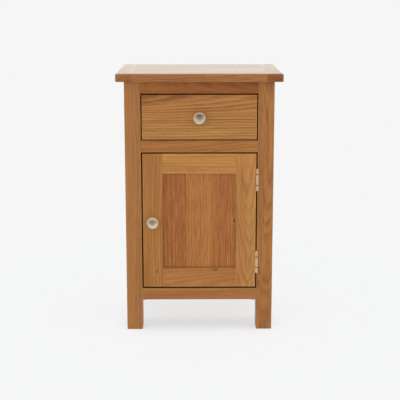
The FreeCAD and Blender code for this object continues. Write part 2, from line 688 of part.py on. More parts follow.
def kicker(side):
    """The strip under the top that keeps the drawer level and holds the top down."""
    y = (FRONT + FRONT_RAIL_THICK, BACK_RAIL_FRONT)
    block = box((side * RUNNER_IN, side * SIDE_RAIL_IN), y, TOP_RAIL_Z)
    sunk_holes = holes(top_screw_heads(), TOP_SCREW, TOP_SCREW_Z - TOP_RAIL_Z[0])
    return cut(block, *leg_blocks(side, TOP_RAIL_Z), *sunk_holes)


def make_drawer_carriers():
    made = {}
    for name, side in SIDES.items():
        made["drawer_runner_" + name] = runner(side)
        made["drawer_kicker_" + name] = kicker(side)
    y = (DRAWER_FRONT_BACK + RUNNING_CLEARANCE, DRAWER_FRONT_BACK + RUNNING_CLEARANCE + STOP_DEPTH)
    z = (DRAWER_FLOOR, DRAWER_FLOOR + STOP_HEIGHT)
    places = (STOP_INSET - DRAWER_IN, DRAWER_IN - STOP_INSET)
    stops = [box(around(x, STOP_WIDTH), y, z) for x in places]
    made["drawer_stops"] = Part.makeCompound(stops)
    return made


def make_carcass_screws():
    heads = []
    for side in SIDES.values():
        heads += runner_screw_heads(side) + floor_screw_heads(side) + cleat_screw_heads(side)
    return {
        "carcass_screws": screws(heads, LONG_SCREW),
        "top_fixing_screws": screws(top_screw_heads(), TOP_SCREW),
    }


# The drawer

def dovetails(side, y, way, z):
    """The tails on the end of a drawer side, from the shoulder line y along way, between two heights."""
    length = (DRAWER_FRONT_THICK - DOVETAIL_LAP) if way < 0 else DRAWER_BACK_THICK
    low, high = z[0] + DOVETAIL_MARGIN, z[1] - DOVETAIL_MARGIN
    count = max(2, int((high - low) // DOVETAIL_SPACING))
    pitch = (high - low - DOVETAIL_NECK) / (count - 1)
    tip = y + way * length
    tails = []
    for i in range(count):
        centre = low + DOVETAIL_NECK / 2 + i * pitch
        neck = DOVETAIL_NECK / 2
        wide = neck + DOVETAIL_FLARE
        corners = [(y, centre - neck), (y, centre + neck), (tip, centre + wide), (tip, centre - wide)]
        points = [Vector(side * DRAWER_IN, cy, cz) for cy, cz in corners]
        face = Part.Face(Part.makePolygon(points + points[:1]))
        tails.append(one_solid(face.extrude(Vector(side * DRAWER_SIDE_THICK, 0, 0))))
    return tails


def drawer_tails(side):
    """All the tails on one drawer side, front and back."""
    front = dovetails(side, DRAWER_FRONT_BACK, -1, (DRAWER_FRONT_Z[0], DRAWER_SIDE_Z[1]))
    return front + dovetails(side, DRAWER_BACK_FRONT, 1, DRAWER_BACK_Z)


def drawer_side(side):
    """A drawer side with its tails, grooved for the base."""

    def is_top(edge):
        return edge_runs(edge, AXIS_Y) and edge.BoundBox.ZMin > DRAWER_SIDE_Z[1] - NEAR

    y = (DRAWER_FRONT_BACK, DRAWER_BACK_FRONT)
    body = eased(box((side * DRAWER_IN, side * DRAWER_OUT), y, DRAWER_SIDE_Z), DRAWER_EDGE_RADIUS, is_top)
    whole = fuse(body, *drawer_tails(side))
    groove_x = (side * DRAWER_IN, side * (DRAWER_IN + DRAWER_GROOVE_DEPTH))
    return cut(whole, box(groove_x, (FRONT, DRAWER_END), DRAWER_BASE_Z))


def make_drawer():
    width = (-DRAWER_OUT, DRAWER_OUT)
    tails = [tail for side in SIDES.values() for tail in drawer_tails(side)]
    groove_x = around(0, 2 * (DRAWER_IN + DRAWER_GROOVE_DEPTH))
    groove_y = (DRAWER_FRONT_BACK - DRAWER_GROOVE_DEPTH, DRAWER_FRONT_BACK)
    middle_z = sum(DRAWER_FRONT_Z) / 2

    front = box(width, (FRONT, DRAWER_FRONT_BACK), DRAWER_FRONT_Z)
    front = eased(front, DRAWER_EDGE_RADIUS, lambda e: e.BoundBox.YMax < FRONT + NEAR)
    groove = box(groove_x, groove_y, DRAWER_BASE_Z)
    front = cut(front, *tails, groove, knob_hole(0, middle_z, DRAWER_FRONT_THICK))

    back = cut(box(width, (DRAWER_BACK_FRONT, DRAWER_END), DRAWER_BACK_Z), *tails)
    base_x = around(0, groove_x[1] - groove_x[0] - 2 * DRAWER_BASE_PLAY)
    base = box(base_x, (groove_y[0] + DRAWER_BASE_PLAY, DRAWER_END), DRAWER_BASE_Z)
    base_holes = holes(base_screw_heads(), SHORT_SCREW)

    made = {"drawer_side_" + name: drawer_side(side) for name, side in SIDES.items()}
    made["drawer_front"] = front
    made["drawer_back"] = cut(back, *base_holes)
    made["drawer_base"] = cut(base, *base_holes)
    made["drawer_base_screws"] = screws(base_screw_heads(), SHORT_SCREW)
    made["drawer_knob"] = knob(0, middle_z)
    made["drawer_knob_screw"] = knob_screw(0, middle_z, DRAWER_FRONT_THICK)
    return made


# The knobs

def arc(start, middle, end):
    return Part.Arc(start, middle, end).toShape()


def knob(x, z):
    """A turned knob: base, slim neck, flared head and a dished face inside a rounded rim."""
    base = Vector(KNOB_NECK_RADIUS + KNOB_BASE_STEP, 0, KNOB_BASE_HEIGHT)
    neck = Vector(KNOB_NECK_RADIUS, 0, KNOB_BASE_HEIGHT + KNOB_BASE_FLARE)
    flare = neck + Vector(0, 0, KNOB_NECK_LENGTH)
    rim_half = KNOB_RIM_WIDTH / 2
    edge_top = Vector(KNOB_HEAD_RADIUS, 0, KNOB_PROJECTION - rim_half)
    edge = edge_top - Vector(0, 0, KNOB_EDGE_HEIGHT - rim_half)
    rim_top = Vector(KNOB_HEAD_RADIUS - rim_half, 0, KNOB_PROJECTION)
    dish = Vector(KNOB_HEAD_RADIUS - KNOB_RIM_WIDTH, 0, edge_top.z)
    dish_low = Vector(0, 0, KNOB_DISH_LOW)
    dish_sphere = (dish.x**2 + KNOB_DISH_DEPTH**2) / (2 * KNOB_DISH_DEPTH)
    dish_mid = Vector(dish.x / 2, 0, dish_low.z + dish_sphere - math.sqrt(dish_sphere**2 - dish.x**2 / 4))
    bore = KNOB_SCREW_RADIUS + KNOB_THREAD_CLEARANCE
    bore_end = Vector(bore, 0, KNOB_BORE_DEPTH)

    def hollow(start, end):
        """A concave arc between two points, bowed towards the axis and outwards."""
        middle = (start + end) * 0.5
        corner = Vector(min(start.x, end.x), 0, start.z if start.x > end.x else end.z)
        return arc(start, middle + (corner - middle) * KNOB_FLARE_CURVE, end)

    edges = outline_part(Vector(bore, 0, 0), Vector(base.x, 0, 0), base)
    edges += [hollow(base, neck)]
    edges += outline_part(neck, flare)
    edges += [hollow(flare, edge)]
    edges += outline_part(edge, edge_top)
    edges += [arc(edge_top, rim_top, dish), arc(dish, dish_mid, dish_low)]
    edges += outline_part(dish_low, Vector(0, 0, KNOB_BORE_DEPTH), bore_end, Vector(bore, 0, 0))
    return turned(edges, Vector(x, FRONT, z), Vector(0, -1, 0))


def knob_hole(x, z, thick):
    radius = KNOB_SCREW_RADIUS + KNOB_HOLE_CLEARANCE
    return Part.makeCylinder(radius, thick, Vector(x, FRONT, z), AXIS_Y)


def knob_screw(x, z, thick):
    """A machine screw from behind the wood into the knob, with a domed, slotted head."""
    head = KNOB_SCREW_HEAD_HEIGHT
    dome = (KNOB_SCREW_HEAD_RADIUS**2 + head**2) / (2 * head)
    half = KNOB_SCREW_HEAD_RADIUS / 2
    crown = Vector(0, 0, -head)
    shoulder = Vector(half, 0, dome - head - math.sqrt(dome**2 - half**2))
    corner = Vector(KNOB_SCREW_HEAD_RADIUS, 0, 0)
    shank = Vector(KNOB_SCREW_RADIUS, 0, 0)
    reach = Vector(0, 0, thick + KNOB_BORE_DEPTH - KNOB_SCREW_SPARE)
    edges = [arc(crown, shoulder, corner)] + outline_part(corner, shank, shank + reach, reach, crown)
    screw = turned(edges, Vector(x, FRONT + thick, z), Vector(0, -1, 0))
    top = FRONT + thick + head
    slot_y = (top - SCREW_SLOT_DEPTH, top)
    return cut(screw, box(around(x, 2 * KNOB_SCREW_HEAD_RADIUS), slot_y, around(z, SCREW_SLOT_WIDTH)))


# The door

def door_stile(x, inner_x, way):
    """A stile with its groove and mortises; way points from its inner edge into the stile."""

    def is_front(edge):
        return edge.BoundBox.YMax < FRONT + NEAR

    def is_inner(edge):
        return abs(edge.BoundBox.Center.x - inner_x) < NEAR

    body = box(x, (FRONT, DOOR_BACK), DOOR_Z)
    body = eased(body, DOOR_EDGE_RADIUS, lambda e: is_front(e) and not is_inner(e))
    body = eased(body, DOOR_JOINT_RADIUS, lambda e: is_front(e) and is_inner(e))
    groove = box((inner_x, inner_x + way * DOOR_GROOVE_DEPTH), DOOR_GROOVE_Y, door_groove_z())
    mortises = [door_tenon(inner_x, way, z, MORTISE_SPARE) for z in door_tenon_heights().values()]
    return cut(body, groove, *mortises)


def door_groove_z():
    return (DOOR_INNER_Z[0] - DOOR_GROOVE_DEPTH, DOOR_INNER_Z[1] + DOOR_GROOVE_DEPTH)


def door_rail(z, tenon_z, outer_z):
    """A rail with a tenon at each end and a groove for the panel."""
    inner_z = z[0] if outer_z == z[1] else z[1]

    def is_front(edge, height):
        near_front = edge_runs(edge, AXIS_X) and edge.BoundBox.YMax < FRONT + NEAR
        return near_front and abs(edge.BoundBox.Center.z - height) < NEAR

    body = box(DOOR_INNER_X, (FRONT, DOOR_BACK), z)
    body = eased(body, DOOR_EDGE_RADIUS, lambda e: is_front(e, outer_z))
    body = eased(body, DOOR_JOINT_RADIUS, lambda e: is_front(e, inner_z))
    deep = DOOR_GROOVE_DEPTH if inner_z < outer_z else -DOOR_GROOVE_DEPTH
    body = cut(body, box(DOOR_INNER_X, DOOR_GROOVE_Y, (inner_z, inner_z + deep)))
    return fuse(body, door_tenon(DOOR_INNER_X[0], -1, tenon_z), door_tenon(DOOR_INNER_X[1], 1, tenon_z))


def make_door():
    heights = door_tenon_heights()
    knob_x = DOOR_X[0] + DOOR_STILE_WIDTH / 2
    latch = door_stile((DOOR_X[0], DOOR_INNER_X[0]), DOOR_INNER_X[0], -1)
    strike_holes = holes(strike_screw_heads(), SHORT_SCREW)
    latch = cut(latch, knob_hole(knob_x, DOOR_MIDDLE_Z, DOOR_THICK), *strike_holes)
    hinge = door_stile((DOOR_INNER_X[1], DOOR_X[1]), DOOR_INNER_X[1], 1)
    hinge_heads = [head for height in HINGE_HEIGHTS.values() for head in hinge_screw_heads(height, -1)]
    reach = DOOR_GROOVE_DEPTH - PANEL_FLOAT
    panel_x = (DOOR_INNER_X[0] - reach, DOOR_INNER_X[1] + reach)
    panel_z = (DOOR_INNER_Z[0] - reach, DOOR_INNER_Z[1] + reach)
    return {
        "door_stile_latch": latch,
        "door_stile_hinge": cut(hinge, *holes(hinge_heads, SMALL_SCREW)),
        "door_top_rail": door_rail((DOOR_INNER_Z[1], DOOR_Z[1]), heights["top"], DOOR_Z[1]),
        "door_bottom_rail": door_rail((DOOR_Z[0], DOOR_INNER_Z[0]), heights["bottom"], DOOR_Z[0]),
        "door_panel": box(panel_x, DOOR_GROOVE_Y, panel_z),
        "door_knob": knob(knob_x, DOOR_MIDDLE_Z),
        "door_knob_screw": knob_screw(knob_x, DOOR_MIDDLE_Z, DOOR_THICK),
    }


# The hinges

def hinge_cylinder(radius, z):
    return Part.makeCylinder(radius, z[1] - z[0], Vector(HINGE_AXIS_X, HINGE_AXIS_Y, z[0]))


def hinge_leaf(height, way, knuckles, gaps, bore):
    """A leaf that wraps the pin at its knuckles and stands clear of the other leaf's knuckles."""
    near = HINGE_AXIS_X + way * HINGE_LEAF_GAP / 2
    x = (near, near + way * HINGE_LEAF_THICK)
    plate = box(x, (HINGE_AXIS_Y, HINGE_AXIS_Y + HINGE_LEAF_WIDTH), around(height, HINGE_LENGTH))
    plate = cut(plate, *[hinge_cylinder(HINGE_BARREL_RADIUS + KNUCKLE_GAP, z) for z in gaps])
    leaf = fuse(plate, *[hinge_cylinder(HINGE_BARREL_RADIUS, z) for z in knuckles])
    leaf_holes = holes(hinge_screw_heads(height, way), SMALL_SCREW)
    return cut(leaf, hinge_cylinder(bore, around(height, HINGE_LENGTH)), *leaf_holes)


def hinge_pin(height):
    """The pin, with a button head at each end."""
    ends = around(height, HINGE_LENGTH)
    heads = [(ends[0] - HINGE_PIN_HEAD_HEIGHT, ends[0]), (ends[1], ends[1] + HINGE_PIN_HEAD_HEIGHT)]
    buttons = [hinge_cylinder(HINGE_PIN_HEAD_RADIUS, z) for z in heads]
    return fuse(hinge_cylinder(HINGE_PIN_RADIUS, ends), *buttons)


def make_hinges():
    made = {}
    frame_heads, door_heads = [], []
    for name, height in HINGE_HEIGHTS.items():
        ends = around(height, HINGE_LENGTH)
        centre = around(height, HINGE_CENTRE_KNUCKLE)
        outer = [(ends[0], centre[0] - KNUCKLE_GAP), (centre[1] + KNUCKLE_GAP, ends[1])]
        inner_gap = (centre[0] - KNUCKLE_GAP, centre[1] + KNUCKLE_GAP)
        outer_gaps = [(ends[0], centre[0]), (centre[1], ends[1])]
        press = HINGE_PIN_RADIUS + PIN_PRESS_CLEARANCE
        run = HINGE_PIN_RADIUS + PIN_RUNNING_CLEARANCE
        made["hinge_%s_frame_leaf" % name] = hinge_leaf(height, 1, outer, [inner_gap], press)
        made["hinge_%s_door_leaf" % name] = hinge_leaf(height, -1, [centre], outer_gaps, run)
        made["hinge_%s_pin" % name] = hinge_pin(height)
        frame_heads += hinge_screw_heads(height, 1)
        door_heads += hinge_screw_heads(height, -1)
    made["hinge_frame_screws"] = screws(frame_heads, SMALL_SCREW)
    made["hinge_door_screws"] = screws(door_heads, SMALL_SCREW)
    return made


# The magnetic catch

def make_catch():
    wall = -LEG_IN
    y = (CATCH_FRONT, CATCH_FRONT + CATCH_DEPTH)
    flange_x = (wall, wall + CATCH_FLANGE_THICK)
    housing_x = (wall, wall + CATCH_FLANGE_THICK + CATCH_HOUSING_WIDTH)
    housing_z = around(DOOR_MIDDLE_Z, CATCH_HOUSING_LENGTH)
    pocket_x = (flange_x[1], housing_x[1] - CATCH_WALL)
    pocket_y = (y[0], y[1] - CATCH_WALL)
    pocket_z = around(DOOR_MIDDLE_Z, CATCH_HOUSING_LENGTH - 2 * CATCH_WALL)
    body = fuse(box(flange_x, y, around(DOOR_MIDDLE_Z, CATCH_LENGTH)), box(housing_x, y, housing_z))
    body = cut(body, box(pocket_x, pocket_y, pocket_z), *holes(catch_screw_heads(), SMALL_SCREW))

    plate_y = (y[0] - POLE_PLATE_REACH, pocket_y[1])
    plates = [
        box((pocket_x[0], pocket_x[0] + POLE_PLATE_THICK), plate_y, pocket_z),
        box((pocket_x[1] - POLE_PLATE_THICK, pocket_x[1]), plate_y, pocket_z),
    ]
    magnet = box((pocket_x[0] + POLE_PLATE_THICK, pocket_x[1] - POLE_PLATE_THICK), pocket_y, pocket_z)

    strike_x = (DOOR_X[0] + STRIKE_PLATE_INSET, DOOR_X[0] + STRIKE_PLATE_INSET + STRIKE_PLATE_WIDTH)
    strike_y = (DOOR_BACK, DOOR_BACK + STRIKE_PLATE_THICK)
    strike = box(strike_x, strike_y, around(DOOR_MIDDLE_Z, STRIKE_PLATE_LENGTH))
    return {
        "catch_body": body,
        "catch_magnet": magnet,
        "catch_pole_plates": Part.makeCompound(plates),
        "catch_screws": screws(catch_screw_heads(), SMALL_SCREW),
        "catch_strike_plate": cut(strike, *holes(strike_screw_heads(), SHORT_SCREW)),
        "strike_plate_screw": one_solid(screws(strike_screw_heads(), SHORT_SCREW)),
    }


def main():
    makers = (
        make_top,
        make_legs,
        make_front_rails,
        make_side_rails,
        make_side_panels,
        make_back,
        make_floor,
        make_drawer_carriers,
        make_carcass_screws,
        make_drawer,
        make_door,
        make_hinges,
        make_catch,
    )
    os.makedirs("parts", exist_ok=True)
    for make in makers:
        for name, shape in make().items():
            shape.exportStep("parts/%s.step" % name)


main()
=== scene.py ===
import math
from types import SimpleNamespace

import bpy
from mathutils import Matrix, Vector


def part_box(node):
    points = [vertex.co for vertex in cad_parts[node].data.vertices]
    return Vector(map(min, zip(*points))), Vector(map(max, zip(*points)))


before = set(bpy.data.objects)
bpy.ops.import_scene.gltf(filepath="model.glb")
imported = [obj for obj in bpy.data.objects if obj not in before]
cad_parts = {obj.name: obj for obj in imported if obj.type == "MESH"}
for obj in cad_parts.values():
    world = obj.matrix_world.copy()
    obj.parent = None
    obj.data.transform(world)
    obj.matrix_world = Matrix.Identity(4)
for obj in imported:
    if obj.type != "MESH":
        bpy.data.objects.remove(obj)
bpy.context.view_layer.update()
scene = bpy.context.scene
scene.view_settings.view_transform = "Standard"


# Sizes and places. All lengths are in metres

# The wood: worn edges with a painted highlight, painted shade lines at grooves, and how far the panels go
# into their grooves
WORN_WIDTH = 0.002
PAINTED_GROOVE_WIDTH = 0.003
SIDE_PANEL_IN_GROOVE = 0.007
DOOR_PANEL_IN_GROOVE = 0.008

# The metals: the knobs' rims with a painted highlight, and how far from a hinge's joint the tarnish starts
# and ends to fade
KNOB_RIM_WIDTH = 0.0035
KNOB_RIM_EDGE = 0.0005
KNUCKLE_JOINT = (0.0007, 0.0018)

# The floor, and its shadow around the table, under it and along the line of its front feet
FLOOR_SIZE = 40.0
WIDE_FADE = (0.5, 1.5)
UNDER_REACH = (0.15, 0.125, 0.0)
UNDER_FADE = 0.12
FRONT_LINE = -0.105
FRONT_FADE = 0.1

# The card that reflections show
CARD_HALF_WIDTH = 1.4
CARD_NEAR = -0.45
CARD_FAR = -3.6
CARD_LOW = 0.01
CARD_HIGH = 1.45

# The lamps and the camera
LAMP_TARGET = (0.0, 0.0, 0.38)
KEY_PLACE = (-0.9, -2.6, 0.8)
KEY_SIZE = (3.0, 1.5)
FILL_PLACE = (1.8, -2.4, 0.8)
FILL_SIZE = (2.4, 1.5)
CAMERA_PLACE = (-0.023, -2.873, 0.945)


# Colours and nodes

WHITE = (1.0, 1.0, 1.0, 1.0)

# The colour sockets of a Mix node share their names with its other sockets, so they go by number
MIX_FIRST = 6
MIX_SECOND = 7
MIX_RESULT = 2


def srgb(red, green, blue):
    """A screen colour from 0 to 255 as the linear colour that nodes take."""
    def linear(value):
        value = value / 255
        return value / 12.92 if value <= 0.04045 else ((value + 0.055) / 1.055) ** 2.4

    return (linear(red), linear(green), linear(blue), 1.0)


def feed(tree, socket, value):
    """Links an output to an input, or sets the input to a plain value."""
    if isinstance(value, bpy.types.NodeSocket):
        tree.links.new(value, socket)
    else:
        socket.default_value = value


def add(tree, kind, inputs=None, **settings):
    """Adds a node of a kind, with its settings and its inputs by name or number."""
    node = tree.nodes.new(kind)
    for name, value in settings.items():
        setattr(node, name, value)
    for name, value in (inputs or {}).items():
        feed(tree, node.inputs[name], value)
    return node


def sums(tree, operation, *values):
    """The result of one step of arithmetic on numbers."""
    return add(tree, "ShaderNodeMath", dict(enumerate(values)), operation=operation).outputs[0]


def vectors(tree, operation, *values):
    """The result of one step of arithmetic on vectors."""
    return add(tree, "ShaderNodeVectorMath", dict(enumerate(values)), operation=operation).outputs[0]


def length(tree, value):
    """How long a vector is."""
    return add(tree, "ShaderNodeVectorMath", {0: value}, operation="LENGTH").outputs["Value"]


def split(tree, value):
    """The three numbers of a vector or colour."""
    return add(tree, "ShaderNodeSeparateXYZ", {0: value}).outputs


def join(tree, x, y, z):
    """A vector from three numbers."""
    return add(tree, "ShaderNodeCombineXYZ", {0: x, 1: y, 2: z}).outputs[0]


def smooth(tree, value, low, high, to_low=0.0, to_high=1.0):
    """A value eased from one range to another."""
    inputs = {"Value": value, "From Min": low, "From Max": high, "To Min": to_low, "To Max": to_high}
    return add(tree, "ShaderNodeMapRange", inputs, interpolation_type="SMOOTHSTEP").outputs[0]


def even(scale):
    """The same scale each way."""
    return (scale, scale, scale)


def noise(tree, place, scale, detail, roughness=0.5, output="Fac"):
    """Soft noise at a place, from 0 to 1, with its own scale each way."""
    spot = vectors(tree, "MULTIPLY", place, scale)
    inputs = {"Vector": spot, "Scale": 1.0, "Detail": detail, "Roughness": roughness}
    return add(tree, "ShaderNodeTexNoise", inputs).outputs[output]


def centred(tree, value):
    """A number from 0 to 1 moved down, so that its mean is 0."""
    return sums(tree, "SUBTRACT", value, 0.5)


def chance(tree, number):
    """Three random numbers from 0 to 1 for each number."""
    node = add(tree, "ShaderNodeTexWhiteNoise", {"W": number}, noise_dimensions="1D")
    return split(tree, node.outputs["Color"])


def mixed(tree, share, first, second):
    """One colour blended into another by a share."""
    inputs = {"Factor": share, MIX_FIRST: first, MIX_SECOND: second}
    return add(tree, "ShaderNodeMix", inputs, data_type="RGBA").outputs[MIX_RESULT]


def object_place(tree):
    """Where a point lies on the object at rest."""
    return add(tree, "ShaderNodeTexCoord").outputs["Object"]


def bumped(tree, height, strength, distance):
    """The surface's direction, bent by a fine relief."""
    inputs = {"Height": height, "Strength": strength, "Distance": distance}
    return add(tree, "ShaderNodeBump", inputs).outputs[0]


def new_material(name):
    """An empty node material and its node tree."""
    material = bpy.data.materials.new(name)
    material.use_nodes = True
    material.node_tree.nodes.clear()
    return material, material.node_tree


def end_in(tree, shader):
    """Ends a material in a shader."""
    add(tree, "ShaderNodeOutputMaterial", {"Surface": shader.outputs[0]})


def end_in_principled(tree, inputs):
    """Ends a material in the general shader, with these inputs."""
    end_in(tree, add(tree, "ShaderNodeBsdfPrincipled", inputs))


def dress(nodes, material):
    """Puts a material on CAD nodes."""
    for node in nodes:
        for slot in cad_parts[node].material_slots:
            slot.material = material


# Solid wood: growth rings about a heart line, fibres, pores and rays

WOOD_COLORS = ("Light", "Dark")

# A stave wider than any board, which leaves the board in one piece
ONE_STAVE = 9.0

# What a board may set, with the usual values: a seed, lengths, and how strong each pattern is
WOOD_NUMBERS = {
    "Seed": 0.0,
    "Ring": 0.006,
    "Figure": 0.5,
    "Heart Across": 0.09,
    "Heart Depth": 0.06,
    "Taper": 0.02,
    "Bend": 0.04,
    "Uneven": 0.9,
    "Core": 0.0,
    "Fibre": 0.8,
    "Fleck": 0.8,
    "Drift": 1.2,
    "Blush": 0.8,
    "Stave": ONE_STAVE,
    "Stave Tone": 0.0,
    "Knot": 0.0,
    "Shade": 0.0,
    "Wear And Highlight": 0.0,
}

# Each noise: waves per metre along, across and into the board, then its detail, and maybe its roughness
BEND_NOISE = ((2.4, 9.0, 9.0), 1.0)
WOBBLE_NOISE = ((9.0, 70.0, 70.0), 2.0)
FIBRE_NOISE = ((4.0, 110.0, 110.0), 3.0, 0.6)
FLECK_NOISE = ((22.0, 340.0, 340.0), 2.0, 0.7)
DRIFT_NOISE = ((1.6, 26.0, 26.0), 1.0)
BLUSH_NOISE = ((1.2, 17.0, 17.0), 1.0)
PORE_NOISE = ((85.0, 2300.0, 2300.0), 1.0)
COAT_NOISE = ((2.5, 42.0, 42.0), 2.0)
WORN_NOISE = (even(22.0), 2.0)

# The same for rays, but along the board, out from the heart and around it
RAY_NOISE = ((55.0, 45.0, 1300.0), 0.0)

# Most of a noise lies between these
NOISE_LIMITS = (0.35, 0.65)

STAVE_SEED_STEP = 7.31
STAVE_SPREAD = 9.0


def split_staves(tree, given):
    """Glued staves side by side on a board, each with its own luck and its own spot in the tree."""
    along, across, inward = split(tree, given["Place"])
    number = sums(tree, "ROUND", sums(tree, "DIVIDE", across, given["Stave"]))
    seed = sums(tree, "MULTIPLY_ADD", number, STAVE_SEED_STEP, given["Seed"])
    luck = chance(tree, seed)
    across = sums(tree, "SUBTRACT", across, sums(tree, "MULTIPLY", number, given["Stave"]))
    apart = join(tree, sums(tree, "MULTIPLY", luck[0], STAVE_SPREAD), luck[1], luck[2])
    spot = vectors(tree, "ADD", join(tree, along, across, inward), apart)
    tone = sums(tree, "MULTIPLY", centred(tree, luck[2]), given["Stave Tone"])
    return SimpleNamespace(
        along=along, across=across, inward=inward, number=number, seed=seed, spot=spot, tone=tone,
    )


HEART_STEP = 0.03
BEND_DEPTH_SHARE = 0.6
TAPER_NEAR = 0.015
TAPER_FAR = 0.06
TAPER_LEAST = 0.05
WOBBLE_DEPTH = 0.0035


def from_heart(tree, given, stave):
    """Where a point lies about the heart line, which runs beside the board's middle and below its face.

    The rings taper along the board near the heart line, and hardly at all further away.
    """
    bend = split(tree, noise(tree, stave.spot, *BEND_NOISE, output="Color"))
    aside = sums(tree, "MULTIPLY_ADD", stave.number, HEART_STEP, stave.across)
    aside = sums(tree, "SUBTRACT", aside, given["Heart Across"])
    aside = sums(tree, "MULTIPLY_ADD", centred(tree, bend[0]), given["Bend"], aside)
    bend_depth = sums(tree, "MULTIPLY", given["Bend"], BEND_DEPTH_SHARE)
    below = sums(tree, "SUBTRACT", stave.inward, given["Heart Depth"])
    below = sums(tree, "MULTIPLY_ADD", centred(tree, bend[1]), bend_depth, below)
    out = length(tree, join(tree, aside, below, 0.0))
    around = sums(tree, "MULTIPLY", sums(tree, "ARCTAN2", below, aside), out)

    climb = smooth(tree, sums(tree, "ABSOLUTE", aside), TAPER_NEAR, TAPER_FAR, 1.0, TAPER_LEAST)
    climb = sums(tree, "MULTIPLY", sums(tree, "MULTIPLY", given["Taper"], climb), stave.along)
    wobble = noise(tree, stave.spot, *WOBBLE_NOISE)
    radius = sums(tree, "SUBTRACT", sums(tree, "MULTIPLY_ADD", wobble, WOBBLE_DEPTH, out), climb)
    return SimpleNamespace(radius=radius, around=around)


KNOT_BULGE = 1.6
UNEVEN_WAVES = 0.7
EARLY_END = 0.65
EARLY_START = 0.7
RING_LEAST = 0.5
RING_LUCK = 0.55
CORE_EDGE = 0.003


def growth_rings(tree, given, stave, heart):
    """How early in the year the wood grew, stronger in some rings than in others, and where the core is."""
    count = sums(tree, "DIVIDE", heart.radius, given["Ring"])
    count = sums(tree, "MULTIPLY_ADD", given["Knot"], KNOT_BULGE, count)
    inputs = {"W": sums(tree, "ADD", count, stave.seed), "Scale": UNEVEN_WAVES, "Detail": 0.0}
    uneven = add(tree, "ShaderNodeTexNoise", inputs, noise_dimensions="1D").outputs["Fac"]
    count = sums(tree, "MULTIPLY_ADD", uneven, given["Uneven"], count)

    luck = chance(tree, sums(tree, "ADD", sums(tree, "FLOOR", count), stave.seed))[0]
    season = sums(tree, "FRACT", count)
    fading = smooth(tree, season, 0.0, EARLY_END, 1.0, 0.0)
    early = sums(tree, "MAXIMUM", fading, smooth(tree, season, EARLY_START, 1.0))
    early = sums(tree, "MULTIPLY", early, sums(tree, "MULTIPLY_ADD", luck, RING_LUCK, RING_LEAST))
    inner = sums(tree, "SUBTRACT", given["Core"], CORE_EDGE)
    core = smooth(tree, heart.radius, inner, given["Core"], 1.0, 0.0)
    return SimpleNamespace(early=early, core=core)


BLUSH_AWAY = (3.1, 1.7, 0.4)
OPEN_LIMITS = (0.05, 0.7)
OPEN_LEAST = 0.25
PORE_LIMITS = (0.56, 0.70)
RAY_LIMITS = (0.66, 0.76)


def fine_grain(tree, stave, heart, ring):
    """Fibres, flecks, broad drift and blush, pores in the early wood, and rays."""
    fibre = noise(tree, stave.spot, *FIBRE_NOISE)
    fleck = noise(tree, stave.spot, *FLECK_NOISE)
    drift = noise(tree, stave.spot, *DRIFT_NOISE)
    blush = noise(tree, vectors(tree, "ADD", stave.spot, BLUSH_AWAY), *BLUSH_NOISE)
    open_wood = smooth(tree, ring.early, *OPEN_LIMITS, OPEN_LEAST, 1.0)
    pore = smooth(tree, noise(tree, stave.spot, *PORE_NOISE), *PORE_LIMITS)
    pore = sums(tree, "MULTIPLY", pore, open_wood)
    in_ring = join(tree, stave.along, heart.radius, heart.around)
    ray = smooth(tree, noise(tree, in_ring, *RAY_NOISE), *RAY_LIMITS)
    return SimpleNamespace(fibre=fibre, fleck=fleck, drift=drift, blush=blush, pore=pore, ray=ray)


LATE_TONE = 0.22
CORE_TONE = 0.4
STAVE_BLUSH = 0.4
CORE_BLUSH = 0.3
BLUSH_LIMITS = (0.42, 0.72)
BLUSH_TINT = (0.93, 0.71, 0.69)
DEEP_DARK = 0.5
DEEP_VALUE = 0.55
PORE_SHADE = 0.55
KNOT_LIMITS = (0.5, 0.85)
KNOT_SHADE = 0.9
RAY_SHARE = 0.2
# Worn edges are lighter: wear of the finish, and a painted highlight along the edges
WEAR_AND_HIGHLIGHT_TINT = (1.3, 1.38, 1.5)


def wood_color(tree, given, stave, ring, grain):
    """The colour at a point, from light wood to dark, with a redder blush, dark pores, pale rays, darker
    end grain, painted shade at grooves and sills, and worn edges lightened by wear and a painted highlight.
    """
    tone = sums(tree, "MULTIPLY_ADD", ring.early, given["Figure"], LATE_TONE)
    tone = sums(tree, "MULTIPLY_ADD", ring.core, CORE_TONE, tone)
    for name in ("fibre", "fleck", "drift"):
        pattern = centred(tree, getattr(grain, name))
        tone = sums(tree, "MULTIPLY_ADD", pattern, given[name.title()], tone)
    tone = add(tree, "ShaderNodeClamp", {0: sums(tree, "ADD", tone, stave.tone)}).outputs[0]
    color = mixed(tree, tone, given["Light"], given["Dark"])

    blush = sums(tree, "MULTIPLY_ADD", stave.tone, STAVE_BLUSH, grain.blush)
    blush = sums(tree, "MULTIPLY_ADD", ring.core, CORE_BLUSH, blush)
    redder = vectors(tree, "MULTIPLY", color, BLUSH_TINT)
    color = mixed(tree, smooth(tree, blush, *BLUSH_LIMITS, 0.0, given["Blush"]), color, redder)

    deep = mixed(tree, DEEP_DARK, color, given["Dark"])
    deep = add(tree, "ShaderNodeHueSaturation", {"Value": DEEP_VALUE, "Color": deep}).outputs[0]
    shade = sums(tree, "MAXIMUM", sums(tree, "MULTIPLY", grain.pore, PORE_SHADE), given["Shade"])
    shade = sums(tree, "MAXIMUM", shade, smooth(tree, given["Knot"], *KNOT_LIMITS, 0.0, KNOT_SHADE))
    color = mixed(tree, shade, color, deep)
    color = mixed(tree, sums(tree, "MULTIPLY", grain.ray, RAY_SHARE), color, given["Light"])
    return mixed(tree, given["Wear And Highlight"], color, vectors(tree, "MULTIPLY", color, WEAR_AND_HIGHLIGHT_TINT))


PLAIN_ROUGH = 0.36
FIBRE_ROUGH = 0.12
PORE_ROUGH = 0.18
WORN_ROUGH = 0.1


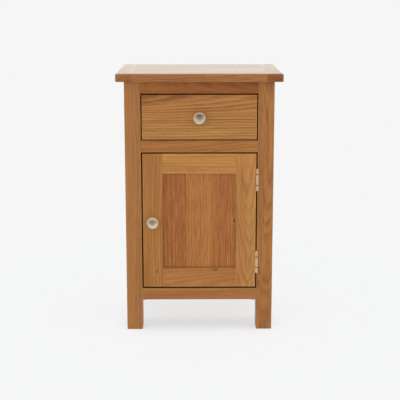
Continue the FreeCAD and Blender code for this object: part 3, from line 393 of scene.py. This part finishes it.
def wood_roughness(tree, given, grain):
    """How rough the wood is: more on its fibres, in its pores and where it is worn."""
    rough = sums(tree, "MULTIPLY_ADD", grain.fibre, FIBRE_ROUGH, PLAIN_ROUGH)
    rough = sums(tree, "MULTIPLY_ADD", grain.pore, PORE_ROUGH, rough)
    return sums(tree, "MULTIPLY_ADD", given["Wear And Highlight"], WORN_ROUGH, rough)


FIBRE_HEIGHT = 0.5
PORE_HEIGHT = -1.0
EARLY_HEIGHT = -0.4


def wood_height(tree, ring, grain):
    """The relief: fibres stand up, and pores and early wood lie deeper."""
    height = sums(tree, "MULTIPLY", grain.fibre, FIBRE_HEIGHT)
    height = sums(tree, "MULTIPLY_ADD", grain.pore, PORE_HEIGHT, height)
    return sums(tree, "MULTIPLY_ADD", ring.early, EARLY_HEIGHT, height)


def wood_group():
    """The shared wood pattern. It works in the board's own place: along, across, and into the board."""
    tree = bpy.data.node_groups.new("wood_pattern", "ShaderNodeTree")
    tree.interface.new_socket("Place", in_out="INPUT", socket_type="NodeSocketVector")
    for name in WOOD_COLORS:
        tree.interface.new_socket(name, in_out="INPUT", socket_type="NodeSocketColor")
    for name, value in WOOD_NUMBERS.items():
        tree.interface.new_socket(name, in_out="INPUT", socket_type="NodeSocketFloat").default_value = value
    tree.interface.new_socket("Color", in_out="OUTPUT", socket_type="NodeSocketColor")
    for name in ("Roughness", "Height"):
        tree.interface.new_socket(name, in_out="OUTPUT", socket_type="NodeSocketFloat")

    given = tree.nodes.new("NodeGroupInput").outputs
    stave = split_staves(tree, given)
    heart = from_heart(tree, given, stave)
    ring = growth_rings(tree, given, stave, heart)
    grain = fine_grain(tree, stave, heart, ring)
    add(tree, "NodeGroupOutput", {
        "Color": wood_color(tree, given, stave, ring, grain),
        "Roughness": wood_roughness(tree, given, grain),
        "Height": wood_height(tree, ring, grain),
    })
    return tree


# Boards

WOOD = wood_group()
AXES = "xyz"


def across_of(grain, face):
    """The axis across a board, from the axis of its grain and the one that its face looks along."""
    return (set(AXES) - {grain, face}).pop()


def board_place(tree, node, grain, face):
    """Where a point lies on a board: along its grain, across it, and in from its middle."""
    low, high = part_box(node)
    spot = split(tree, vectors(tree, "SUBTRACT", object_place(tree), (low + high) / 2))
    return join(tree, *(spot[AXES.index(axis)] for axis in (grain, across_of(grain, face), face)))


KNOT_SLIMNESS = 0.4
KNOT_REACH = 3.0


def knot_field(tree, place, knots):
    """One at the middle of each small knot, falling away around it, and more slowly along the grain."""
    field = 0.0
    for along, across, size in knots:
        gap = vectors(tree, "SUBTRACT", place, (along, across, 0.0))
        gap = vectors(tree, "MULTIPLY", gap, (KNOT_SLIMNESS / size, 1.0 / size, 0.0))
        field = sums(tree, "MAXIMUM", field, smooth(tree, length(tree, gap), 0.0, KNOT_REACH, 1.0, 0.0))
    return field


# How dark the painted shade is at a panel's ends, where it meets its frame
PAINTED_GROOVE_SHADE = 0.5


def painted_groove_shade(tree, node, grain, place, groove):
    """Painted shade: a thin dark line where a panel's ends go into its frame, for the shade in that gap."""
    low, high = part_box(node)
    half = (high - low)[AXES.index(grain)] / 2
    along = sums(tree, "ABSOLUTE", split(tree, place)[0])
    clear = sums(tree, "SUBTRACT", half - groove, along)
    return smooth(tree, clear, 0.0, PAINTED_GROOVE_WIDTH, PAINTED_GROOVE_SHADE, 0.0)


SQUARE_LIMITS = (0.5, 0.95)
END_SHADE = 0.4
# Painted shade on the upper and lower faces of sills, for the shade in the gaps beside them
PAINTED_SILL_SHADE = 0.9


def facing_shade(tree, axis, shade):
    """A shade on the faces that look squarely along an axis, either way."""
    normal = split(tree, add(tree, "ShaderNodeTexCoord").outputs["Normal"])
    square = sums(tree, "ABSOLUTE", normal[AXES.index(axis)])
    return smooth(tree, square, *SQUARE_LIMITS, 0.0, shade)


def board_shade(tree, node, grain, place, groove, sill_painted_shade):
    """End grain drinks more finish, so it is darker. At grooves and sills the darkening is painted shade,
    for the shade in the gaps.
    """
    shade = facing_shade(tree, grain, END_SHADE)
    if groove:
        shade = sums(tree, "MAXIMUM", shade, painted_groove_shade(tree, node, grain, place, groove))
    if sill_painted_shade:
        shade = sums(tree, "MAXIMUM", shade, facing_shade(tree, "z", PAINTED_SILL_SHADE))
    return shade


def joined_box(nodes):
    """The lowest and highest corners of some nodes together."""
    lows, highs = zip(*(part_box(node) for node in nodes))
    return Vector([min(parts) for parts in zip(*lows)]), Vector([max(parts) for parts in zip(*highs)])


WORN_LEAST = 0.45


def edge_wear_and_highlight(tree, nodes):
    """Where hands and cloths thin the finish, lightened further as a painted highlight: along the outer
    edges of boards that are joined flush.

    At an edge two of the three gaps to the sides of their box are small, so the middle one of them is.
    """
    low, high = joined_box(nodes)
    spot = object_place(tree)
    off = vectors(tree, "ABSOLUTE", vectors(tree, "SUBTRACT", spot, (low + high) / 2))
    x, y, z = split(tree, vectors(tree, "SUBTRACT", (high - low) / 2, off))
    middle = sums(tree, "MINIMUM", sums(tree, "MAXIMUM", x, y), z)
    middle = sums(tree, "MAXIMUM", sums(tree, "MINIMUM", x, y), middle)
    patch = smooth(tree, noise(tree, spot, *WORN_NOISE), *NOISE_LIMITS, WORN_LEAST, 1.0)
    return sums(tree, "MULTIPLY", smooth(tree, middle, 0.0, WORN_WIDTH, 1.0, 0.0), patch)


COAT_LEAST = 0.8


def uneven_coat(tree, place, coat):
    """A clear coat that lies thicker on some streaks of the wood than on others."""
    return smooth(tree, noise(tree, place, *COAT_NOISE), *NOISE_LIMITS, COAT_LEAST * coat, coat)


class Tone:
    """A wood's light and dark colours, and how much clear coat is on it."""

    def __init__(self, light, dark, coat=0.1):
        self.colors = [srgb(*color) for color in (light, dark)]
        self.coat = coat

    def tinted(self, tint):
        """The colours of one board of this wood, times a tint."""
        return [tuple(part * by for part, by in zip(color, (*tint, 1.0))) for color in self.colors]


WOOD_SPECULAR = 0.4
COAT_ROUGH = 0.1
WOOD_RELIEF = 0.25
WOOD_RELIEF_DEPTH = 0.0002


def wood(node, grain, face, tone, seed, heart=None, tint=(1, 1, 1), knots=(), groove=None, worn=(),
         sill_painted_shade=False, **looks):
    """Gives a board its own piece of wood, from the axes of its grain and its face.

    The heart line lies across and in from the board's middle. A knot is a place along, a place across and
    a size. A panel goes into its frame by the groove, with a painted shade line at its ends. The board is
    worn, with a painted highlight, at the outer edges of the boards named, and a sill gets painted shade
    above and below. The looks are other numbers of the pattern, by name.
    """
    material, tree = new_material("wood_" + node)
    place = board_place(tree, node, grain, face)
    values = {"Place": place, "Seed": seed, **dict(zip(WOOD_COLORS, tone.tinted(tint)))}
    values.update((name.replace("_", " ").title(), value) for name, value in looks.items())
    if heart:
        values["Heart Across"], values["Heart Depth"] = heart
    if knots:
        values["Knot"] = knot_field(tree, place, knots)
    values["Shade"] = board_shade(tree, node, grain, place, groove, sill_painted_shade)
    if worn:
        values["Wear And Highlight"] = edge_wear_and_highlight(tree, worn)
    pattern = add(tree, "ShaderNodeGroup", values, node_tree=WOOD).outputs
    end_in_principled(tree, {
        "Base Color": pattern["Color"],
        "Roughness": pattern["Roughness"],
        "Normal": bumped(tree, pattern["Height"], WOOD_RELIEF, WOOD_RELIEF_DEPTH),
        "Specular IOR Level": WOOD_SPECULAR,
        "Coat Weight": uneven_coat(tree, place, tone.coat),
        "Coat Roughness": COAT_ROUGH,
    })
    dress([node], material)


# The woods

LEG = Tone((184, 126, 70), (138, 84, 40))
RAIL = Tone((180, 122, 68), (140, 86, 42))
DOOR = Tone((198, 144, 76), (154, 99, 45))
PANEL = Tone((186, 127, 70), (138, 84, 40))
DRAWER = Tone((194, 140, 78), (142, 92, 44))
TOP = Tone((178, 116, 56), (134, 77, 33), coat=1.0)
PALE = Tone((214, 184, 138), (180, 144, 98), coat=0.05)
VENEER = Tone((196, 152, 98), (158, 110, 64))

TOP_BOARDS = ("top_panel", "top_breadboard_left", "top_breadboard_right")
DOOR_FRAME = ("door_stile_latch", "door_stile_hinge", "door_top_rail", "door_bottom_rail")
VENEER_LOOKS = {"heart": (0.04, 0.05), "taper": 0.03, "stave_tone": 0.2}

# Legs
wood("leg_front_left", "z", "y", LEG, seed=1.0, heart=(0.06, 0.05), tint=(1.01, 0.97, 0.87),
     taper=0.01, figure=0.3, fibre=0.5, drift=0.8)
wood("leg_front_right", "z", "y", LEG, seed=2.0, heart=(0.012, 0.05), tint=(1.01, 0.94, 0.75),
     taper=0.05, ring=0.0045, figure=0.45, fleck=1.6, drift=0.6)
wood("leg_back_left", "z", "y", LEG, seed=3.0, heart=(-0.03, -0.06))
wood("leg_back_right", "z", "y", LEG, seed=4.0, heart=(0.05, -0.05), taper=0.03)

# Front, back and floor
wood("front_top_rail", "x", "y", RAIL, seed=5.0, heart=(0.005, 0.04), tint=(0.83, 0.75, 0.35),
     taper=0.09, ring=0.004, figure=0.4, fleck=1.2, drift=0.8)
# The drawer rail and the bottom rail get painted shade on their upper and lower faces, for the shade in the
# gaps
wood("drawer_rail", "x", "y", RAIL, seed=6.0, heart=(-0.05, 0.06), tint=(1.09, 1.02, 0.74), sill_painted_shade=True)
wood("front_bottom_rail", "x", "y", RAIL, seed=7.0, heart=(-0.06, 0.05), tint=(1.05, 1.0, 0.85), sill_painted_shade=True)
wood("back_top_rail", "x", "y", RAIL, seed=8.0)
wood("back_bottom_rail", "x", "y", RAIL, seed=9.0)
wood("back_panel", "z", "y", VENEER, seed=60.0, stave=0.11, **VENEER_LOOKS)
wood("cupboard_floor", "x", "z", VENEER, seed=61.0, stave=0.12, **VENEER_LOOKS)

# Pieces that come in pairs, at the left and the right
for side, seed in (("left", 10.0), ("right", 30.0)):
    wood("side_top_rail_" + side, "y", "x", RAIL, seed=seed, heart=(0.05, 0.05), taper=0.03)
    wood("side_bottom_rail_" + side, "y", "x", RAIL, seed=seed + 1, heart=(-0.06, 0.05), taper=0.03)
    wood("side_panel_" + side, "z", "x", PANEL, seed=seed + 2, heart=(0.02, 0.04), taper=0.04,
         groove=SIDE_PANEL_IN_GROOVE, stave=0.078, stave_tone=0.3)
    wood("drawer_side_" + side, "y", "x", PALE, seed=seed + 4, heart=(0.1, 0.05))
    wood("drawer_runner_" + side, "y", "z", PALE, seed=seed + 5)
    wood("drawer_kicker_" + side, "y", "z", PALE, seed=seed + 6)
    wood("floor_cleat_" + side, "y", "z", PALE, seed=seed + 7)

# Top
wood("top_panel", "x", "z", TOP, seed=51.0, heart=(-0.04, -0.06), tint=(1.06, 1.06, 0.96), taper=0.08,
     bend=0.07, stave=0.086, stave_tone=0.4, figure=0.6, fleck=1.4, drift=0.9, worn=TOP_BOARDS)
for side, seed, tint in (("left", 13.0, (1.12, 1.12, 1.12)), ("right", 33.0, (0.89, 0.74, 0.38))):
    wood("top_breadboard_" + side, "y", "z", TOP, seed=seed, heart=(0.03, -0.05), tint=tint,
         taper=0.03, fleck=1.4, worn=TOP_BOARDS)

# Drawer
wood("drawer_front", "x", "y", DRAWER, seed=52.0, heart=(0.06, 0.012), tint=(1.02, 0.96, 0.75),
     taper=-0.07, ring=0.0073, bend=0.006, uneven=0.3, core=0.028, figure=0.68, fleck=1.2, drift=0.6,
     blush=0.5, worn=("drawer_front",))
wood("drawer_back", "x", "y", PALE, seed=53.0)
wood("drawer_stops", "x", "z", PALE, seed=54.0)
wood("drawer_base", "x", "z", VENEER, seed=62.0, stave=0.14, **VENEER_LOOKS)

# Door
wood("door_stile_latch", "z", "y", DOOR, seed=55.0, heart=(-0.09, 0.05), tint=(0.9, 0.77, 0.68),
     knots=((-0.143, 0.01, 0.002),), drift=2.0, worn=DOOR_FRAME)
wood("door_stile_hinge", "z", "y", DOOR, seed=56.0, heart=(0.004, 0.03), tint=(1.03, 1.01, 0.98),
     taper=0.06, ring=0.004, figure=0.42, fleck=1.6, drift=0.4, worn=DOOR_FRAME)
wood("door_top_rail", "x", "y", DOOR, seed=57.0, heart=(0.1, 0.05), tint=(1.13, 1.09, 0.97),
     taper=0.01, ring=0.007, figure=0.3, fibre=0.6, worn=DOOR_FRAME)
wood("door_bottom_rail", "x", "y", DOOR, seed=58.0, heart=(-0.03, 0.04), tint=(0.93, 0.78, 0.76),
     knots=((0.043, 0.022, 0.003),), taper=0.04, worn=DOOR_FRAME)
wood("door_panel", "z", "y", PANEL, seed=490.0, heart=(0.09, 0.05), tint=(1.13, 1.01, 0.79),
     knots=((0.0, 0.096, 0.0025),), groove=DOOR_PANEL_IN_GROOVE, ring=0.0036, bend=0.015, stave=0.072,
     stave_tone=0.38, figure=0.6, fibre=0.3, fleck=1.9, drift=0.15, blush=0.4)


# Metals

TARNISH_NOISE = (even(60.0), 3.0)
TARNISH_LIMITS = (0.35, 0.75)
TARNISH_MOST = 0.6
JOINT_TARNISH = (132, 104, 70)
LINE_DETAIL = 1.0
LINE_ROUGH = 0.12
LINE_RELIEF = 0.05
FINE_RELIEF_DEPTH = 0.0001


def rim_highlight_share(tree, node):
    """One on the rim of a round knob that looks along Y, where a highlight is painted."""
    low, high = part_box(node)
    spot = vectors(tree, "SUBTRACT", object_place(tree), (low + high) / 2)
    out = length(tree, vectors(tree, "MULTIPLY", spot, (1.0, 0.0, 1.0)))
    inner = (high.x - low.x) / 2 - KNOB_RIM_WIDTH
    return smooth(tree, out, inner - KNOB_RIM_EDGE, inner + KNOB_RIM_EDGE)


def joint_share(tree, leaves):
    """One at the joints between the knuckles of upright hinges, where tarnish gathers.

    The joints are a quarter of a leaf's height above and below its middle.
    """
    height = split(tree, object_place(tree))[2]
    share = 0.0
    for leaf in leaves:
        low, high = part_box(leaf)
        off = sums(tree, "ABSOLUTE", sums(tree, "SUBTRACT", height, (low.z + high.z) / 2))
        off = sums(tree, "ABSOLUTE", sums(tree, "SUBTRACT", off, (high.z - low.z) / 4))
        share = sums(tree, "MAXIMUM", share, smooth(tree, off, *KNUCKLE_JOINT, 1.0, 0.0))
    return share


def metal(name, nodes, color, tarnish, roughness, lines, rim_highlight=None, leaves=()):
    """A satin metal with fine lines and a thin tarnish, and maybe a rim with a painted highlight or darker
    hinge joints.
    """
    material, tree = new_material(name)
    spot = object_place(tree)
    stain = smooth(tree, noise(tree, spot, *TARNISH_NOISE), *TARNISH_LIMITS, 0.0, TARNISH_MOST)
    shade = mixed(tree, stain, srgb(*color), srgb(*tarnish))
    if rim_highlight:
        shade = mixed(tree, rim_highlight_share(tree, nodes[0]), shade, srgb(*rim_highlight))
    if leaves:
        shade = mixed(tree, joint_share(tree, leaves), shade, srgb(*JOINT_TARNISH))
    fine = noise(tree, spot, lines, LINE_DETAIL)
    end_in_principled(tree, {
        "Base Color": shade,
        "Metallic": 1.0,
        "Roughness": sums(tree, "MULTIPLY_ADD", fine, LINE_ROUGH, roughness - LINE_ROUGH / 2),
        "Normal": bumped(tree, fine, LINE_RELIEF, FINE_RELIEF_DEPTH),
    })
    dress(nodes, material)


# A painted highlight on the knobs' rims
KNOB_RIM_HIGHLIGHT = (250, 236, 214)
# The drawer knob's colours are darker than the door knob's: painted shade, for the shade under the top
KNOB_COLORS_LIT_AND_SHADED = {
    "drawer_knob": ((209, 202, 189), (195, 186, 170)),
    "door_knob": ((232, 224, 209), (219, 208, 190)),
}
for knob, (color, tarnish) in KNOB_COLORS_LIT_AND_SHADED.items():
    metal("nickel_" + knob, (knob,), color, tarnish, roughness=0.42, lines=even(900.0), rim_highlight=KNOB_RIM_HIGHLIGHT)

HINGES = ("hinge_upper", "hinge_lower")
DOOR_LEAVES = [hinge + "_door_leaf" for hinge in HINGES]
HINGE_PARTS = [hinge + part for hinge in HINGES for part in ("_frame_leaf", "_door_leaf", "_pin")]
HINGE_SCREWS = ["hinge_frame_screws", "hinge_door_screws"]
metal("pale_brass", HINGE_PARTS + HINGE_SCREWS, (255, 232, 202), (250, 218, 178),
      roughness=0.5, lines=(500.0, 500.0, 4000.0), leaves=DOOR_LEAVES)

STEEL_PARTS = (
    "back_panel_screws", "carcass_screws", "top_fixing_screws", "drawer_base_screws", "drawer_knob_screw",
    "door_knob_screw", "catch_screws", "catch_pole_plates", "catch_strike_plate", "strike_plate_screw",
)
metal("zinc_steel", STEEL_PARTS, (186, 186, 184), (150, 146, 138), roughness=0.38, lines=even(1500.0))


# Plastic and ferrite

CLOUD_NOISE = (even(60.0), 2.0)
CLOUD_LIMITS = (0.35, 0.7)
GRIT_NOISE = (even(2500.0), 1.0)
GRIT_ROUGH = 0.15
GRIT_RELIEF = 0.15
MOULDED_ROUGH = 0.4


def moulded(name, node, color, worn):
    """A moulded material with a fine texture."""
    material, tree = new_material(name)
    spot = object_place(tree)
    cloud = smooth(tree, noise(tree, spot, *CLOUD_NOISE), *CLOUD_LIMITS)
    fine = noise(tree, spot, *GRIT_NOISE)
    end_in_principled(tree, {
        "Base Color": mixed(tree, cloud, srgb(*color), srgb(*worn)),
        "Roughness": sums(tree, "MULTIPLY_ADD", fine, GRIT_ROUGH, MOULDED_ROUGH),
        "Normal": bumped(tree, fine, GRIT_RELIEF, FINE_RELIEF_DEPTH),
    })
    dress([node], material)


moulded("catch_plastic", "catch_body", (150, 108, 72), (130, 90, 58))
moulded("magnet_ferrite", "catch_magnet", (58, 56, 54), (46, 44, 42))


# Studio: a pale floor and background, and soft light

PALE_LEVEL = srgb(246, 246, 246)
MIRRORED_LEVEL = srgb(255, 247, 238)
AROUND_LEVEL = 0.7
KEY_POWER = 17.0
FILL_POWER = 7.0


def seen_straight(tree):
    """One for rays that should meet the pale background: seen, mirrored or passed through."""
    path = add(tree, "ShaderNodeLightPath").outputs
    seen = sums(tree, "MAXIMUM", path["Is Camera Ray"], path["Is Glossy Ray"])
    return sums(tree, "MAXIMUM", seen, path["Is Transmission Ray"])


def flat_object(name, corners, faces, material):
    """A new object in the scene, made of flat faces."""
    mesh = bpy.data.meshes.new(name)
    mesh.from_pydata(corners, [], faces)
    mesh.materials.append(material)
    made = bpy.data.objects.new(name, mesh)
    scene.collection.objects.link(made)
    return made


WIDE_SHARE = 0.12
UNDER_SHARE = 0.2
FRONT_SHARE = 0.28


def shadow_share(tree):
    """How much of the lit floor shows: most under the table, near its front feet, and none far away."""
    spot = object_place(tree)
    wide = smooth(tree, length(tree, spot), *WIDE_FADE, WIDE_SHARE, 0.0)
    off_line = sums(tree, "ABSOLUTE", sums(tree, "SUBTRACT", split(tree, spot)[1], FRONT_LINE))
    under = smooth(tree, off_line, 0.0, FRONT_FADE, UNDER_SHARE + FRONT_SHARE, UNDER_SHARE)
    outside = vectors(tree, "SUBTRACT", vectors(tree, "ABSOLUTE", spot), UNDER_REACH)
    outside = length(tree, vectors(tree, "MAXIMUM", outside, (0.0, 0.0, 0.0)))
    return sums(tree, "MULTIPLY_ADD", under, smooth(tree, outside, 0.0, UNDER_FADE, 1.0, 0.0), wide)


FLOOR_COLOR = (0.84, 0.905, 0.945, 1.0)

# The share of the background's level that the lit floor lacks
FLOOR_LACK = 0.31


def floor_material():
    """As pale as the background. Its glow makes up what the lit floor lacks, so that shadow shows."""
    material, tree = new_material("studio_floor")
    lift = sums(tree, "SUBTRACT", 1.0, shadow_share(tree))
    extra = sums(tree, "SUBTRACT", sums(tree, "DIVIDE", 1.0, lift), 1.0)
    strength = sums(tree, "MULTIPLY_ADD", extra, FLOOR_LACK, 1.0)
    matt = add(tree, "ShaderNodeBsdfDiffuse", {"Color": FLOOR_COLOR})
    glow = add(tree, "ShaderNodeEmission", {"Color": PALE_LEVEL, "Strength": strength})
    share = sums(tree, "MULTIPLY", lift, seen_straight(tree))
    end_in(tree, add(tree, "ShaderNodeMixShader", {0: share, 1: matt.outputs[0], 2: glow.outputs[0]}))
    return material


def make_floor():
    """A square floor at the feet of the table."""
    half = FLOOR_SIZE / 2
    corners = [(-half, -half, 0), (half, -half, 0), (half, half, 0), (-half, half, 0)]
    floor = flat_object("floor", corners, [(0, 1, 2, 3)], floor_material())


CARD_COLOR = (138, 131, 121)


def make_card():
    """A grey card on the floor in front and upright behind the camera, that only reflections show."""
    material, tree = new_material("grey_card")
    end_in(tree, add(tree, "ShaderNodeBsdfDiffuse", {"Color": srgb(*CARD_COLOR)}))
    left, right = -CARD_HALF_WIDTH, CARD_HALF_WIDTH
    corners = [
        (left, CARD_NEAR, CARD_LOW), (right, CARD_NEAR, CARD_LOW),
        (right, CARD_FAR, CARD_LOW), (left, CARD_FAR, CARD_LOW),
        (right, CARD_FAR, CARD_HIGH), (left, CARD_FAR, CARD_HIGH),
    ]
    card = flat_object("card", corners, [(0, 3, 2, 1), (2, 3, 5, 4)], material)
    card.visible_camera = False
    card.visible_diffuse = False
    card.visible_shadow = False
    card.visible_transmission = False


def make_world():
    """Even light from all round, and a pale background that is a little warmer in reflections."""
    world = bpy.data.worlds.new("studio")
    scene.world = world
    world.use_nodes = True
    tree = world.node_tree
    tree.nodes.clear()
    around = add(tree, "ShaderNodeBackground", {"Color": WHITE, "Strength": AROUND_LEVEL})
    mirrored = add(tree, "ShaderNodeLightPath").outputs["Is Glossy Ray"]
    behind = add(tree, "ShaderNodeBackground", {"Color": mixed(tree, mirrored, PALE_LEVEL, MIRRORED_LEVEL)})
    shaders = {0: seen_straight(tree), 1: around.outputs[0], 2: behind.outputs[0]}
    both = add(tree, "ShaderNodeMixShader", shaders)
    add(tree, "ShaderNodeOutputWorld", {"Surface": both.outputs[0]})


def make_lamp(name, place, size, power):
    """A soft box aimed at the table, left out of reflections so that they stay even."""
    light = bpy.data.lights.new(name, "AREA")
    light.shape = "RECTANGLE"
    light.size, light.size_y = size
    light.energy = power
    lamp = bpy.data.objects.new(name, light)
    lamp.location = place
    lamp.rotation_euler = (Vector(LAMP_TARGET) - Vector(place)).to_track_quat("-Z", "Y").to_euler()
    lamp.visible_glossy = False
    scene.collection.objects.link(lamp)


make_floor()
make_card()
make_world()
make_lamp("key_light", KEY_PLACE, KEY_SIZE, KEY_POWER)
make_lamp("fill_light", FILL_PLACE, FILL_SIZE, FILL_POWER)


# Camera at the photograph's viewing angle: degrees down and to the right, and millimetres of lens

CAMERA_DOWN = 11.87
CAMERA_RIGHT = 0.52
LENS = 91.1

camera = bpy.data.objects.new("camera", bpy.data.cameras.new("camera"))
camera.data.lens = LENS
camera.location = CAMERA_PLACE
camera.rotation_euler = (math.radians(90 - CAMERA_DOWN), 0.0, math.radians(-CAMERA_RIGHT))
scene.collection.objects.link(camera)
scene.camera = camera
